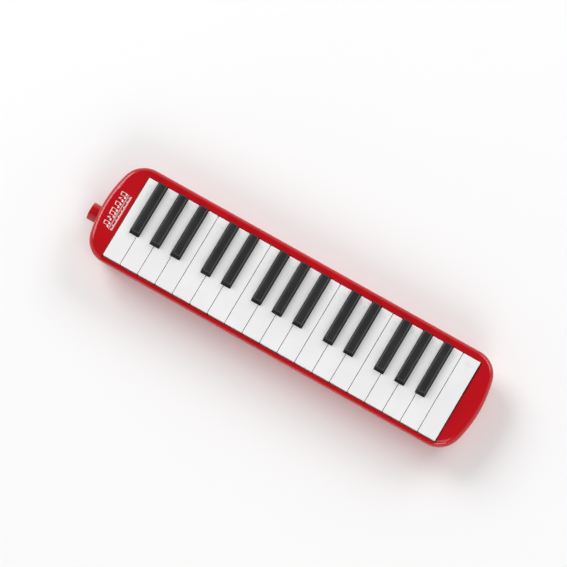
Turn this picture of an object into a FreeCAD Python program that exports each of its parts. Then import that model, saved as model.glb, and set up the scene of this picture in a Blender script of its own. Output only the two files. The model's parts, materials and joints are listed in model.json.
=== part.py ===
import FreeCAD, Part
import math
import os

from FreeCAD import Vector

# Melodica with 32 keys, F to C. Millimetres. +X runs along the keyboard towards the high notes,
# +Y is the back (away from the player), +Z is up. The origin is the middle of the flat base.

# ---- driving dimensions: keyboard ----
white_pitch = 20.0
white_length = 91.7
white_gap = 0.6
white_rise = 2.0            # white tops above the decks
white_depth = 8.0           # height of a white key's side walls
key_wall = 1.3
key_plate = 2.1             # thickness of a key's top
key_corner = 0.8
key_edge = 0.45
black_length = 57.9
black_width = 9.8
black_top_width = 7.2
black_rise = 6.0            # black tops above the white tops
black_front_gap = 0.7
black_rear_gap = 1.1
black_edge = 0.6
black_corner = 1.3
black_crown_radius = 26.0    # the tops are slightly crowned across
toe_rise = 2.0              # the small ledge at the foot of a black key's nose
toe_depth = 1.2
nose_run = 1.4
outer_black_offset = 3.5    # F sharp and A sharp stand this far from the white boundary
inner_black_offset = 1.65   # C sharp and D sharp

# ---- driving dimensions: case ----
left_deck = 27.3
right_deck = 22.7
rear_rim = 10.3
front_rim = 4.7
front_gap = 0.6
rear_gap = 0.7
side_gap = 0.6
case_height = 40.0
rim_drop = 1.2              # the front rim lies this much lower than the decks
shoulder_drop = 7.0         # the case is widest this far below the decks
parting_height = 22.0
base_inset = 8.8            # the walls lean inward by this much at the base
case_wall = 2.2
corner_radius = 26.0
end_radius = 135.0
deck_edge = 5.5
rim_edge = 2.4
base_edge = 4.0
mouth_edge = 0.5            # bevel of the keyboard opening's upper edges
skirt_wall = 1.8
skirt_depth = 9.0           # the opening's skirt ends this far below the decks
seam_groove = 0.35

# ---- driving dimensions: key action ----
axle_diameter = 2.5
axle_fit = 0.06
axle_overhang = 0.8         # past the middle of the outer ribs
axle_from_rear = 27.7       # rear edge of the opening to the axle
axle_depth = 4.0            # axle below the white tops
white_travel = 3.6          # degrees
black_travel = 4.5          # degrees
arm_width = 5.5
arm_depth = 9.0
arm_rear_gap = 1.0
arm_front = 18.0            # the arm starts this far in front of the axle
side_wall_end = 8.0         # the keys' side walls end this far in front of the axle
pad_width = 8.0
pad_length = 10.5
pad_thickness = 2.5
pad_setback = 2.2           # rear edge of the opening to the pad
foot_margin = 0.6
stop_clearance = 0.1

# ---- driving dimensions: wind chamber ----
chamber_base = 13.0
trough_height = 7.2
gasket_thickness = 0.8
block_height = 5.4
seat_height = 0.6
seat_border = 1.1
flange = 4.0
reed_band = 5.0             # solid band that takes the reed plate screws
chamber_floor = 2.0
chamber_depth = 41.0        # front to back
chamber_setback = 1.3       # behind the rear edge of the opening
chamber_left_margin = 2.5   # past the first key
chamber_right_margin = 2.0  # short of the last key's side
cell_width = 9.2
port_width = 5.4
port_length = 6.5
plate_thickness = 1.0
plate_margin = 0.6
reed_width = 2.2
reed_side_gap = 0.1
reed_thickness = 0.2
reed_root = 3.5
reed_root_width = 3.4
reed_root_thickness = 0.3
reed_root_setback = 1.0     # behind the band of the plate screws
longest_reed = 22.0
shortest_reed = 10.0
rivet_diameter = 1.4
rivet_head = 2.2
rivet_head_height = 0.4
plate_screw_margin = 3.0    # plate screws keep this far from a plate's ends

# ---- driving dimensions: key frame ----
frame_thickness = 2.0
frame_front_margin = 1.2
frame_left_margin = 1.5     # past the outer ribs
frame_right_margin = 3.0
frame_rear = 8.0            # the frame ends this far behind the axle
rib_width = 1.6
rib_length = 5.0
first_rib_inset = 0.2       # ends of the keyboard to the outer ribs
last_rib_inset = 2.2
guide_clearance = 0.3
guide_thickness = 1.6
white_guide_setback = 5.1
white_guide_height = 6.6
black_guide_setback = 7.8
black_guide_height = 8.0
felt_setback = 1.2          # front of the white keys to their felt
felt_width = 2.6
black_stop_width = 4.0
black_stop_setback = 1.8
black_felt = 1.0
strip_inset = 1.0           # felts and rail stop short of the frame's ends
rail_front = 21.5           # in front of the axle
rail_width = 4.5
rail_thickness = 1.5
leaf_thickness = 0.35
leaf_width = 4.0
leaf_clearance = 0.03       # a leaf's tip to its key
leaf_tip = 6.5              # in front of the axle

# ---- driving dimensions: mouthpiece socket and duct ----
socket_diameter = 18.3
socket_reach = 9.0          # stands out of the case
socket_y = -11.1
socket_bore = 12.0
socket_bore_depth = 18.0
windway = 10.0
collar_diameter = 21.0
collar_thickness = 1.8
collar_margin = 0.97        # inside of the end wall to the collar
tail_diameter = 16.0
socket_edge = 0.6
saddle_gap = 0.2
saddle_thickness = 1.5
saddle_margin = 2.0
tail_length = 1.5           # collar to the socket's inner end
seal_thickness = 1.5
seal_side = 1.0             # rubber beside, below and above the inlet
seal_below = 1.5
seal_above = 0.6
duct_wall = 1.6
duct_front = 20.5           # in front of the middle
duct_margin = 2.0           # inlet to the duct's rear
duct_base = 13.6
duct_top = 28.6
inlet_width = 16.0
inlet_height = 4.2
inlet_rise = 2.4
inlet_setback = 17.0        # from the chamber's rear to the inlet

# ---- driving dimensions: drain valve, strap and fasteners ----
drain_from_right = 14.0
drain_y = 25.0
button_diameter = 10.0
button_recess = 0.8
button_gap = 0.2
button_rest = 0.2           # base cover to the button's flange
button_edge = 0.5
button_flange = 14.0
button_flange_thickness = 1.6
stem_diameter = 3.2
neck_diameter = 2.4
valve_hole = 4.8
valve_seal_diameter = 9.0
valve_seal_thickness = 1.5
valve_head = 4.0
valve_head_thickness = 0.8
spring_diameter = 6.4
spring_wire = 0.8
spring_turns = 4
spring_clearance = 0.05
spring_wire_sides = 12      # a round swept wire doesn't mesh true
recess_length = 140.0
recess_width = 48.0
recess_depth = 10.2
recess_from_middle = 95.0
ledge_length = 18.0
ledge_depth = 3.8
strap_width = 30.0
strap_thickness = 1.6
strap_end_gap = 0.8
anchor_length = 13.0
anchor_thickness = 1.2
anchor_inset = 1.0          # the anchor plates are narrower than the strap by this, each side
anchor_corner = 2.0
strap_corner = 3.0
strap_boss_diameter = 6.0
strap_boss_height = 4.0
strap_hole_depth = 4.0
strap_screw_head = 4.0
strap_screw_head_height = 0.8
rest_width = 3.0            # the two ribs that carry the wind chamber
rest_setback = 2.0
left_rest = 4.0             # end of the chamber to the rib
right_rest = 31.0
post_diameter = 8.0
post_gap = 0.9
case_screw_y = 36.0
right_screw_y = 20.0
frame_post_diameter = 7.0
frame_post_drop = 3.0       # the frame's bosses reach down this far
frame_post_y = -34.0
frame_post_count = 5
screw_shank = 2.6
screw_head = 5.4
screw_head_height = 1.8
screw_clearance = 0.05
screw_recess = 8.0
recess_clearance = 0.4
case_hole_cap = 2.2         # the case screws' holes end this far below the decks
case_tip_gap = 1.0          # the case screws end this far short of their holes
frame_hole_cap = 0.6
tip_gap = 0.2               # the other screws end this far short of their holes
chamber_hole_depth = 3.8
slot_width = 0.4
slot_depth_share = 0.5      # of a screw head's height
slot_reach_share = 0.3      # of a screw head's width, each way
small_shank = 2.0
small_head = 3.2
small_head_height = 1.2
small_length = 5.0

# ---- modelling margins ----
past = 1.0                  # cutting tools run this far past a face
overlap = 0.5               # pieces of one body run this far into each other

# ---- derived sizes ----
notes = ["f", "fs", "g", "gs", "a", "as", "b", "c", "cs", "d", "ds", "e"]
note_count = 32
first_octave = 3
black_offsets = {
    "fs": -outer_black_offset,
    "gs": 0.0,
    "as": outer_black_offset,
    "cs": -inner_black_offset,
    "ds": inner_black_offset,
}


def note_list():
    """(name, octave, is_black, number of whites before it) for each key, low to high."""
    keys = []
    whites = 0
    for i in range(note_count):
        name = notes[i % 12]
        octave = first_octave + (i + 5) // 12
        black = name in black_offsets
        keys.append((name, octave, black, whites))
        if not black:
            whites += 1
    return keys


keys = note_list()
white_count = sum(1 for key in keys if not key[2])
keyboard_length = white_count * white_pitch
case_length = left_deck + keyboard_length + right_deck
case_width = front_rim + front_gap + white_length + rear_gap + rear_rim
keyboard_left = left_deck - case_length / 2
keyboard_right = keyboard_left + keyboard_length
opening_rear = case_width / 2 - rear_rim
opening_front = -case_width / 2 + front_rim
white_front = opening_front + front_gap
white_rear = opening_rear - rear_gap
black_rear = opening_rear - black_rear_gap
black_front = black_rear - black_length
notch = black_front - black_front_gap
white_top = case_height + white_rise
white_base = white_top - white_depth
black_top = white_top + black_rise
shoulder_height = case_height - shoulder_drop
skirt_height = case_height - skirt_depth
rim_height = case_height - rim_drop
axle_y = opening_rear - axle_from_rear
axle_z = white_top - axle_depth
arm_base = white_top - arm_depth
gasket_base = chamber_base + trough_height
block_base = gasket_base + gasket_thickness
block_top = block_base + block_height
port_top = block_top + seat_height
pad_top = port_top + pad_thickness
pad_rear = opening_rear - pad_setback
pad_front = pad_rear - pad_length
chamber_rear = opening_rear + chamber_setback
chamber_front = chamber_rear - chamber_depth
inlet_y = chamber_rear - inlet_setback - inlet_width
duct_rear = inlet_y + inlet_width + duct_margin
chamber_left = keyboard_left - chamber_left_margin
chamber_right = keyboard_right - chamber_right_margin
frame_base = port_top
frame_top = frame_base + frame_thickness
frame_front = opening_front + frame_front_margin
case_end = case_length / 2
recess_middle = -recess_from_middle
strap_base = ledge_depth - strap_thickness
small_hole = small_shank / 2 + screw_clearance
screw_hole = screw_shank / 2 + screw_clearance




def lean_inset(z):
    """How far inside the full outline the wall stands at height z."""
    return base_inset * max(0.0, 1.0 - z / shoulder_height)


socket_z = parting_height
collar_setback = case_wall + lean_inset(socket_z - collar_diameter / 2) + collar_margin
socket_end = collar_setback + collar_thickness + tail_length
duct_left = -case_end + socket_end + seal_thickness
duct_right = chamber_left - seal_thickness


# ---- helpers ----
def box(x0, x1, y0, y1, z0, z1):
    return Part.makeBox(x1 - x0, y1 - y0, z1 - z0, Vector(x0, y0, z0))


def rod(x, y, z0, z1, radius):
    return Part.makeCylinder(radius, z1 - z0, Vector(x, y, z0), Vector(0, 0, 1))


def rod_x(x0, x1, y, z, radius):
    return Part.makeCylinder(radius, x1 - x0, Vector(x0, y, z), Vector(1, 0, 0))


def fuse(shapes):
    result = shapes[0]
    if len(shapes) > 1:
        result = result.multiFuse(shapes[1:])
    return result.removeSplitter()


def cut(shape, tools):
    return shape.cut(Part.makeCompound(tools))


def single(shape):
    """The one solid of a shape that a cut or a fuse left inside a compound."""
    if len(shape.Solids) != 1:
        raise ValueError("expected one solid, got %d" % len(shape.Solids))
    return shape.Solids[0]


def edges_at_height(shape, z):
    return [e for e in shape.Edges if all(abs(v.Z - z) < 1e-4 for v in e.Vertexes)
            and abs(e.CenterOfMass.z - z) < 1e-4]


def upright_edges(shape, places):
    """Vertical edges that stand at one of the given (x, y) places."""
    found = []
    for e in shape.Edges:
        a, b = e.Vertexes[0].Point, e.Vertexes[-1].Point
        upright = abs(a.x - b.x) < 1e-4 and abs(a.y - b.y) < 1e-4 and abs(a.z - b.z) > 1e-4
        if upright and any(abs(a.x - x) < 1e-3 and abs(a.y - y) < 1e-3 for x, y in places):
            found.append(e)
    return found


def export(name, solids):
    shape = Part.makeCompound(solids) if isinstance(solids, list) else solids
    if not shape.isValid():
        raise ValueError("invalid shape: " + name)
    shape.exportStep("parts/" + name + ".step")


# ---- places along the keyboard ----
def white_span(index):
    left = keyboard_left + index * white_pitch + white_gap / 2
    return left, left + white_pitch - white_gap


def black_centre(key):
    name, octave, black, whites = key
    return keyboard_left + whites * white_pitch + black_offsets[name]


def tail_span(i):
    """Left and right of key i where it passes between its neighbours at the back."""
    key = keys[i]
    if key[2]:
        centre = black_centre(key)
        return centre - black_width / 2, centre + black_width / 2
    left, right = white_span(key[3])
    if i > 0 and keys[i - 1][2]:
        left = black_centre(keys[i - 1]) + black_width / 2 + white_gap
    if i + 1 < note_count and keys[i + 1][2]:
        right = black_centre(keys[i + 1]) - black_width / 2 - white_gap
    return left, right


tails = [sum(tail_span(i)) / 2 for i in range(note_count)]
between = [(tails[i] + tails[i + 1]) / 2 for i in range(note_count - 1)]
chamber_screw_places = between[1::4]
frame_screw_places = tails[4::8]
rail_screw_places = between[7::8]


# ---- case ----
def outline(inset, z):
    """Closed outline of the case: straight sides, corner arcs and shallow end arcs."""
    half_width = case_width / 2
    end_centre = case_length / 2 - end_radius
    corner_y = half_width - corner_radius
    corner_x = end_centre + math.sqrt((end_radius - corner_radius) ** 2 - corner_y ** 2)
    lean = math.atan2(corner_y, corner_x - end_centre)
    middle = (lean + math.pi / 2) / 2
    r = corner_radius - inset
    big = end_radius - inset

    def point(x, y):
        return Vector(x, y, z)

    def quarter(sx, sy):
        start = point(sx * corner_x, sy * (half_width - inset))
        mid = point(sx * (corner_x + r * math.cos(middle)), sy * (corner_y + r * math.sin(middle)))
        end = point(sx * (end_centre + big * math.cos(lean)), sy * big * math.sin(lean))
        return start, mid, end

    a, am, ae = quarter(1, 1)
    b, bm, be = quarter(1, -1)
    c, cm, ce = quarter(-1, -1)
    d, dm, de = quarter(-1, 1)
    right = point(case_length / 2 - inset, 0)
    left = point(-case_length / 2 + inset, 0)
    edges = [
        Part.LineSegment(d, a), Part.Arc(a, am, ae), Part.Arc(ae, right, be), Part.Arc(be, bm, b),
        Part.LineSegment(b, c), Part.Arc(c, cm, ce), Part.Arc(ce, left, de), Part.Arc(de, dm, d),
    ]
    return Part.Wire([e.toShape() for e in edges])


def hull(heights, inset):
    return Part.makeLoft([outline(lean_inset(z) + inset, z) for z in heights], True, True)


def seam():
    """Shallow groove where the two covers meet."""
    z0 = parting_height - seam_groove / 2
    z1 = parting_height + seam_groove / 2
    outer = Part.Face(outline(-1.0, z0)).extrude(Vector(0, 0, z1 - z0))
    inner = Part.Face(outline(lean_inset(parting_height) + seam_groove, z0)).extrude(Vector(0, 0, z1 - z0))
    return outer.cut(inner)


def case_screws_at():
    left = keyboard_left - side_gap - skirt_wall - post_gap - post_diameter / 2
    right = keyboard_right + side_gap + skirt_wall + post_gap + post_diameter / 2
    return [(left, -case_screw_y), (left, case_screw_y), (right, -right_screw_y), (right, right_screw_y)]


def frame_posts_at():
    step = keyboard_length / frame_post_count
    return [(keyboard_left + (i + 0.5) * step, frame_post_y) for i in range(frame_post_count)]


def flare(left, right, front, z):
    """Widens the keyboard opening at height z, which bevels its upper edges."""
    def ring(grow, height):
        x0, x1 = left - grow, right + grow
        y0, y1 = front - grow, opening_rear + grow
        corners = [Vector(x0, y0, height), Vector(x1, y0, height), Vector(x1, y1, height), Vector(x0, y1, height)]
        return Part.makePolygon(corners + corners[:1])

    return Part.makeLoft([ring(0, z - mouth_edge), ring(mouth_edge, z)], True, True)


def top_cover():
    left = keyboard_left - side_gap
    right = keyboard_right + side_gap
    decks = hull([parting_height, shoulder_height, case_height], 0)
    decks = decks.makeFillet(deck_edge, edges_at_height(decks, case_height))
    rim = hull([parting_height, shoulder_height, rim_height], 0)
    rim = rim.makeFillet(rim_edge, edges_at_height(rim, rim_height))
    in_front = box(left, right, -case_width, opening_front + past, shoulder_height, case_height + past)
    body = decks.cut(in_front).fuse(rim.common(in_front))
    cavity = hull([parting_height, shoulder_height, case_height - case_wall], case_wall)
    surround = box(left - skirt_wall, right + skirt_wall, -case_width, opening_rear + skirt_wall,
                   skirt_height, case_height)
    body = body.cut(cavity.cut(surround))
    posts = [rod(x, y, parting_height, case_height - case_wall / 2, post_diameter / 2)
             for x, y in case_screws_at()]
    body = body.multiFuse(posts)
    holes = [rod(x, y, parting_height, case_height - case_hole_cap, screw_hole) for x, y in case_screws_at()]
    holes.append(box(left, right, opening_front, opening_rear, parting_height - past, case_height + past))
    holes.append(rod_x(-case_end - past, duct_left, socket_y, socket_z,
                       socket_diameter / 2 + screw_clearance))
    holes.append(seam())
    holes += [flare(left, right, -case_width, case_height), flare(left, right, opening_front, rim_height)]
    return single(cut(body, holes))


def hand_recess(grow, depth):
    x0 = recess_middle - recess_length / 2 - grow
    x1 = recess_middle + recess_length / 2 + grow
    return box(x0, x1, -recess_width / 2 - grow, recess_width / 2 + grow, -past, depth)


def strap_ledges(grow, depth):
    x0 = recess_middle - recess_length / 2 - ledge_length - grow
    x1 = recess_middle + recess_length / 2 + ledge_length + grow
    half = strap_width / 2 + strap_end_gap + grow
    return box(x0, x1, -half, half, -past, depth)


def strap_screws_at():
    offset = recess_length / 2 + ledge_length / 2
    return [(recess_middle + sx * offset, sy * strap_width / 4) for sx in (-1, 1) for sy in (-1, 1)]


def bottom_cover():
    body = hull([0, parting_height], 0)
    body = body.makeFillet(base_edge, edges_at_height(body, 0))
    inside = body.copy()
    body = body.cut(hull([case_wall, parting_height], case_wall))
    frame_post_top = frame_base - frame_post_drop
    adds = [hand_recess(case_wall, recess_depth + case_wall), strap_ledges(case_wall, ledge_depth + case_wall)]
    adds += [rod(x, y, 0, parting_height, post_diameter / 2) for x, y in case_screws_at()]
    ledge_top = case_wall + ledge_depth
    adds += [rod(x, y, ledge_top - overlap, ledge_top + strap_boss_height, strap_boss_diameter / 2)
             for x, y in strap_screws_at()]
    adds += [box(x, x + rest_width, chamber_front + rest_setback, chamber_rear - rest_setback,
                 case_wall / 2, chamber_base)
             for x in (chamber_left + left_rest, chamber_right - right_rest - rest_width)]
    saddle_x = -case_end + collar_setback + collar_thickness + saddle_gap
    half = collar_diameter / 2 + saddle_margin
    adds.append(box(saddle_x, saddle_x + saddle_thickness, socket_y - half, socket_y + half,
                    case_wall / 2, socket_z))
    body = body.fuse([a.common(inside) for a in adds])
    tall = [rod(x, y, case_wall - past, frame_post_top, frame_post_diameter / 2) for x, y in frame_posts_at()]
    body = body.fuse(tall)
    holes = [hand_recess(0, recess_depth), strap_ledges(0, ledge_depth), seam()]
    for x, y in case_screws_at() + frame_posts_at():
        holes.append(rod(x, y, -past, screw_recess, screw_head / 2 + recess_clearance))
        holes.append(rod(x, y, -past, frame_base + past, screw_hole))
    holes += [rod(x, y, ledge_depth - past, ledge_depth + strap_hole_depth, small_hole)
              for x, y in strap_screws_at()]
    holes.append(rod_x(-case_end - past, -case_end + collar_setback + past, socket_y, socket_z,
                       socket_diameter / 2 + screw_clearance))
    holes.append(rod_x(-case_end, duct_left, socket_y, socket_z, tail_diameter / 2 + screw_clearance))
    holes.append(rod(keyboard_right - drain_from_right, drain_y, -past, case_wall + past,
                     button_diameter / 2 + button_gap))
    return single(cut(body, holes).removeSplitter())


def socket():
    x0 = -case_end - socket_reach
    collar = -case_end + collar_setback
    end = -case_end + socket_end
    spigot = rod_x(x0, collar + collar_thickness, socket_y, socket_z, socket_diameter / 2)
    mouth = [e for e in spigot.Edges if abs(e.CenterOfMass.x - x0) < 1e-4]
    spigot = spigot.makeFillet(socket_edge, mouth)
    body = fuse([spigot,
                 rod_x(collar, collar + collar_thickness, socket_y, socket_z, collar_diameter / 2),
                 rod_x(collar, end, socket_y, socket_z, tail_diameter / 2)])
    return single(cut(body, [rod_x(x0 - past, x0 + socket_bore_depth, socket_y, socket_z, socket_bore / 2),
                             rod_x(x0, end + past, socket_y, socket_z, windway / 2)]))


def inlet_box(x0, x1):
    y0 = inlet_y
    z0 = chamber_base + inlet_rise
    return box(x0, x1, y0, y0 + inlet_width, z0, z0 + inlet_height)


def wind_duct():
    outer = box(duct_left, duct_right, -duct_front, duct_rear, duct_base, duct_top)
    inner = box(duct_left + duct_wall, duct_right - duct_wall, -duct_front + duct_wall,
                duct_rear - duct_wall, duct_base + duct_wall, duct_top - duct_wall)
    mouth = rod_x(duct_left - past, duct_left + duct_wall + past, socket_y, socket_z, windway / 2)
    return single(cut(outer, [inner, mouth, inlet_box(duct_right - duct_wall - past, duct_right + past)]))


def duct_seals():
    x0 = duct_left - seal_thickness
    ring = rod_x(x0, duct_left, socket_y, socket_z, tail_diameter / 2)
    ring = ring.cut(rod_x(x0 - past, duct_left + past, socket_y, socket_z, windway / 2))
    y0 = inlet_y
    z0 = chamber_base + inlet_rise
    frame = box(duct_right, chamber_left, y0 - seal_side, y0 + inlet_width + seal_side,
                z0 - seal_below, z0 + inlet_height + seal_above)
    return [ring.Solids[0], frame.cut(inlet_box(duct_right - past, chamber_left + past)).Solids[0]]


# ---- wind chamber ----
def chamber_screw_spots():
    rows = (chamber_front + flange / 2, chamber_rear - flange / 2)
    return [(x, y) for y in rows for x in chamber_screw_places]


def plate_screw_y():
    return chamber_front + flange + reed_band / 2


def reed_root_front():
    return chamber_front + flange + reed_band + reed_root_setback


def plate_range(high):
    middle = between[note_count // 2 - 1]
    if high:
        return middle + plate_margin / 2, chamber_right - flange - plate_margin
    return chamber_left + flange / 2 + plate_margin, middle - plate_margin / 2


def plate_screws_for(high):
    x0, x1 = plate_range(high)
    inside = [x for x in between if x0 + plate_screw_margin < x < x1 - plate_screw_margin]
    return [inside[1], inside[len(inside) // 2], inside[-2]]


def reed_chamber():
    body = box(chamber_left, chamber_right, chamber_front, chamber_rear, block_base, block_top)
    adds = []
    holes = []
    port_y = (pad_front + pad_rear) / 2
    for x in tails:
        half_x = port_width / 2
        half_y = port_length / 2
        adds.append(box(x - half_x - seat_border, x + half_x + seat_border, port_y - half_y - seat_border,
                        port_y + half_y + seat_border, block_top - overlap, port_top))
        holes.append(box(x - half_x, x + half_x, port_y - half_y, port_y + half_y,
                         block_base - past, port_top + past))
        holes.append(box(x - cell_width / 2, x + cell_width / 2, chamber_front + flange + reed_band,
                         chamber_rear - flange, block_base - 1, block_top - chamber_floor))
    for x in frame_screw_places:
        adds.append(rod(x, chamber_front + flange / 2, block_top - overlap, frame_base, small_head / 2))
        holes.append(rod(x, chamber_front + flange / 2, frame_top - small_length - tip_gap, frame_base + past,
                         small_hole))
    holes += [rod(x, y, block_base - past, block_base + chamber_hole_depth, small_hole)
              for x, y in chamber_screw_spots()]
    plate_hole_top = block_base - plate_thickness + small_length + tip_gap
    for high in (False, True):
        holes += [rod(x, plate_screw_y(), block_base - past, plate_hole_top, small_hole)
                  for x in plate_screws_for(high)]
    return single(cut(body.multiFuse(adds), holes).removeSplitter())


def chamber_cover():
    body = box(chamber_left, chamber_right, chamber_front, chamber_rear, chamber_base, gasket_base)
    cavity = box(chamber_left + flange / 2, chamber_right - flange, chamber_front + flange,
                 chamber_rear - flange, chamber_base + chamber_floor, gasket_base + 1)
    holes = [cavity, inlet_box(chamber_left - past, chamber_left + flange)]
    for x, y in chamber_screw_spots():
        holes.append(rod(x, y, chamber_base - past, gasket_base + past, small_hole))
        holes.append(rod(x, y, chamber_base - past, chamber_base + small_head_height,
                         small_head / 2 + screw_clearance))
    holes.append(rod(keyboard_right - drain_from_right, drain_y, chamber_base - past,
                     chamber_base + chamber_floor + past, valve_hole / 2))
    return single(cut(body, holes))


def chamber_gasket():
    body = box(chamber_left, chamber_right, chamber_front, chamber_rear, gasket_base, block_base)
    window = box(chamber_left + flange / 2, chamber_right - flange, chamber_front + flange,
                 chamber_rear - flange, gasket_base - past, block_base + past)
    return single(cut(body, [window] + [rod(x, y, gasket_base - past, block_base + past, small_hole)
                                        for x, y in chamber_screw_spots()]))


def reed_length(i):
    return longest_reed + (shortest_reed - longest_reed) * i / (note_count - 1)


def rivet_spot(i):
    return tails[i], reed_root_front() + reed_root / 2


def reed_plate(high):
    x0, x1 = plate_range(high)
    body = box(x0, x1, chamber_front + flange + plate_margin, chamber_rear - flange - plate_margin,
               block_base - plate_thickness, block_base)
    holes = [rod(x, plate_screw_y(), gasket_base - past, block_base + past, small_hole)
             for x in plate_screws_for(high)]
    for i in range(note_count):
        if not x0 < tails[i] < x1:
            continue
        half = reed_width / 2 + reed_side_gap
        y0 = reed_root_front() + reed_root
        holes.append(box(tails[i] - half, tails[i] + half, y0, y0 + reed_length(i) + reed_side_gap,
                         gasket_base - 1, block_base + 1))
        x, y = rivet_spot(i)
        holes.append(rod(x, y, gasket_base - past, block_base + past, rivet_diameter / 2))
    return single(cut(body, holes))


def reeds():
    solids = []
    top = block_base - plate_thickness
    for i in range(note_count):
        x = tails[i]
        y0 = reed_root_front()
        root = box(x - reed_root_width / 2, x + reed_root_width / 2, y0, y0 + reed_root,
                   top - reed_root_thickness, top)
        base = top - reed_root_thickness
        tongue = box(x - reed_width / 2, x + reed_width / 2, y0 + reed_root - past,
                     y0 + reed_root + reed_length(i), base, base + reed_thickness)
        hole = rod(x, y0 + reed_root / 2, base - past, top + past, rivet_diameter / 2)
        solids.append(single(cut(fuse([root, tongue]), [hole])))
    return solids


def reed_rivets():
    solids = []
    top = block_base
    base = block_base - plate_thickness - reed_root_thickness
    for i in range(note_count):
        x, y = rivet_spot(i)
        solids.append(fuse([rod(x, y, base - rivet_head_height, base, rivet_head / 2),
                            rod(x, y, base - rivet_head_height, top + rivet_head_height, rivet_diameter / 2),
                            rod(x, y, top, top + rivet_head_height, rivet_head / 2)]))
    return solids


def pan_screw(x, y, z_seat, length, shank, head, height, direction):
    """Screw whose head sits on z_seat; its shank runs along direction (+1 up, -1 down)."""
    tip = z_seat + direction * length
    crown = z_seat - direction * height
    body = fuse([rod(x, y, min(z_seat, tip), max(z_seat, tip), shank / 2),
                 rod(x, y, min(z_seat, crown), max(z_seat, crown), head / 2)])
    slot_z = sorted((crown, crown + direction * height * slot_depth_share))
    arm = head * slot_reach_share
    half = slot_width / 2
    cross = [box(x - arm, x + arm, y - half, y + half, slot_z[0], slot_z[1]),
             box(x - half, x + half, y - arm, y + arm, slot_z[0], slot_z[1])]
    return single(cut(body, cross))


def small_screw(x, y, z_seat, length, direction):
    return pan_screw(x, y, z_seat, length, small_shank, small_head, small_head_height, direction)


def reed_plate_screws():
    seat = block_base - plate_thickness
    return [small_screw(x, plate_screw_y(), seat, small_length, 1)
            for high in (False, True) for x in plate_screws_for(high)]


def chamber_screws():
    seat = chamber_base + small_head_height
    length = block_base + chamber_hole_depth - tip_gap - seat
    return [small_screw(x, y, seat, length, 1) for x, y in chamber_screw_spots()]


# ---- key frame and action ----
def axle_ribs_at():
    return [keyboard_left + first_rib_inset] + between + [keyboard_right - last_rib_inset]


def frame_span():
    ribs = axle_ribs_at()
    return ribs[0] - frame_left_margin, ribs[-1] + frame_right_margin


def white_guides():
    y0 = white_front + white_guide_setback
    tabs = []
    for index in range(white_count):
        left, right = white_span(index)
        inner = key_wall + guide_clearance
        tabs.append(box(left + inner, right - inner, y0, y0 + guide_thickness,
                        frame_top - overlap, frame_top + white_guide_height))
    return tabs


def black_guides():
    y0 = black_front + black_guide_setback
    half = black_width / 2 - key_wall - guide_clearance
    centres = [black_centre(key) for key in keys if key[2]]
    return [box(x - half, x + half, y0, y0 + guide_thickness, frame_top - overlap, frame_top + black_guide_height)
            for x in centres]


def black_stop_height():
    """Top of the felt that a black key's walls meet at the end of their travel."""
    reach = axle_y - (black_front + black_stop_setback)
    return white_base - reach * math.sin(math.radians(black_travel)) - stop_clearance


def key_frame():
    x0, x1 = frame_span()
    body = box(x0, x1, frame_front, axle_y + frame_rear, frame_base, frame_top)
    stop_y = black_front + black_stop_setback
    adds = [box(x0, x1, stop_y, stop_y + black_stop_width, frame_top - overlap, black_stop_height() - black_felt)]
    adds += white_guides() + black_guides()
    adds += [box(x - rib_width / 2, x + rib_width / 2, axle_y - rib_length / 2, axle_y + rib_length / 2,
                 frame_top - overlap, axle_z + axle_diameter / 2) for x in axle_ribs_at()]
    adds += [rod(x, y, frame_base - frame_post_drop, frame_base + overlap, frame_post_diameter / 2)
             for x, y in frame_posts_at()]
    holes = [rod_x(x0 - past, x1 + past, axle_y, axle_z, axle_diameter / 2),
             box(x0 - past, x1 + past, axle_y - axle_diameter / 2, axle_y + axle_diameter / 2, axle_z, axle_z + axle_diameter)]
    holes += [rod(x, y, frame_base - frame_post_drop - past, frame_top - frame_hole_cap, screw_hole)
              for x, y in frame_posts_at()]
    holes += [rod(x, chamber_front + flange / 2, frame_base - past, frame_top + past, small_hole)
              for x in frame_screw_places]
    holes += [rod(x, axle_y - rail_front + rail_width / 2, frame_base - past, frame_top + past, small_hole)
              for x in rail_screw_places]
    return single(cut(body.multiFuse(adds), holes).removeSplitter())


def key_axle():
    ribs = axle_ribs_at()
    return rod_x(ribs[0] - axle_overhang, ribs[-1] + axle_overhang, axle_y, axle_z, axle_diameter / 2)


def spring_rail():
    x0, x1 = frame_span()
    y0 = axle_y - rail_front
    z0 = frame_top + leaf_thickness
    body = box(x0 + strip_inset, x1 - strip_inset, y0, y0 + rail_width, z0, z0 + rail_thickness)
    return single(cut(body, [rod(x, y0 + rail_width / 2, z0 - past, z0 + rail_thickness + past, small_hole)
                             for x in rail_screw_places]))


def key_springs():
    solids = []
    y0 = axle_y - rail_front
    y1 = y0 + rail_width
    tip = axle_y - leaf_tip
    touch = arm_base - leaf_clearance
    z0 = frame_top
    profile = [(y0, z0), (y1 + leaf_thickness, z0), (tip, touch - leaf_thickness), (tip, touch),
               (y1, z0 + leaf_thickness), (y0, z0 + leaf_thickness)]
    for x in tails:
        points = [Vector(x - leaf_width / 2, y, z) for y, z in profile]
        face = Part.Face(Part.makePolygon(points + points[:1]))
        solids.append(face.extrude(Vector(leaf_width, 0, 0)))
    return solids


def white_felt():
    x0, x1 = frame_span()
    y0 = white_front + felt_setback
    reach = axle_y - y0
    top = white_base - reach * math.sin(math.radians(white_travel)) - stop_clearance
    return box(x0 + strip_inset, x1 - strip_inset, y0, y0 + felt_width, frame_top, top)


def black_felt_strip():
    x0, x1 = frame_span()
    y0 = black_front + black_stop_setback
    top = black_stop_height()
    return box(x0 + strip_inset, x1 - strip_inset, y0, y0 + black_stop_width, top - black_felt, top)


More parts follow.
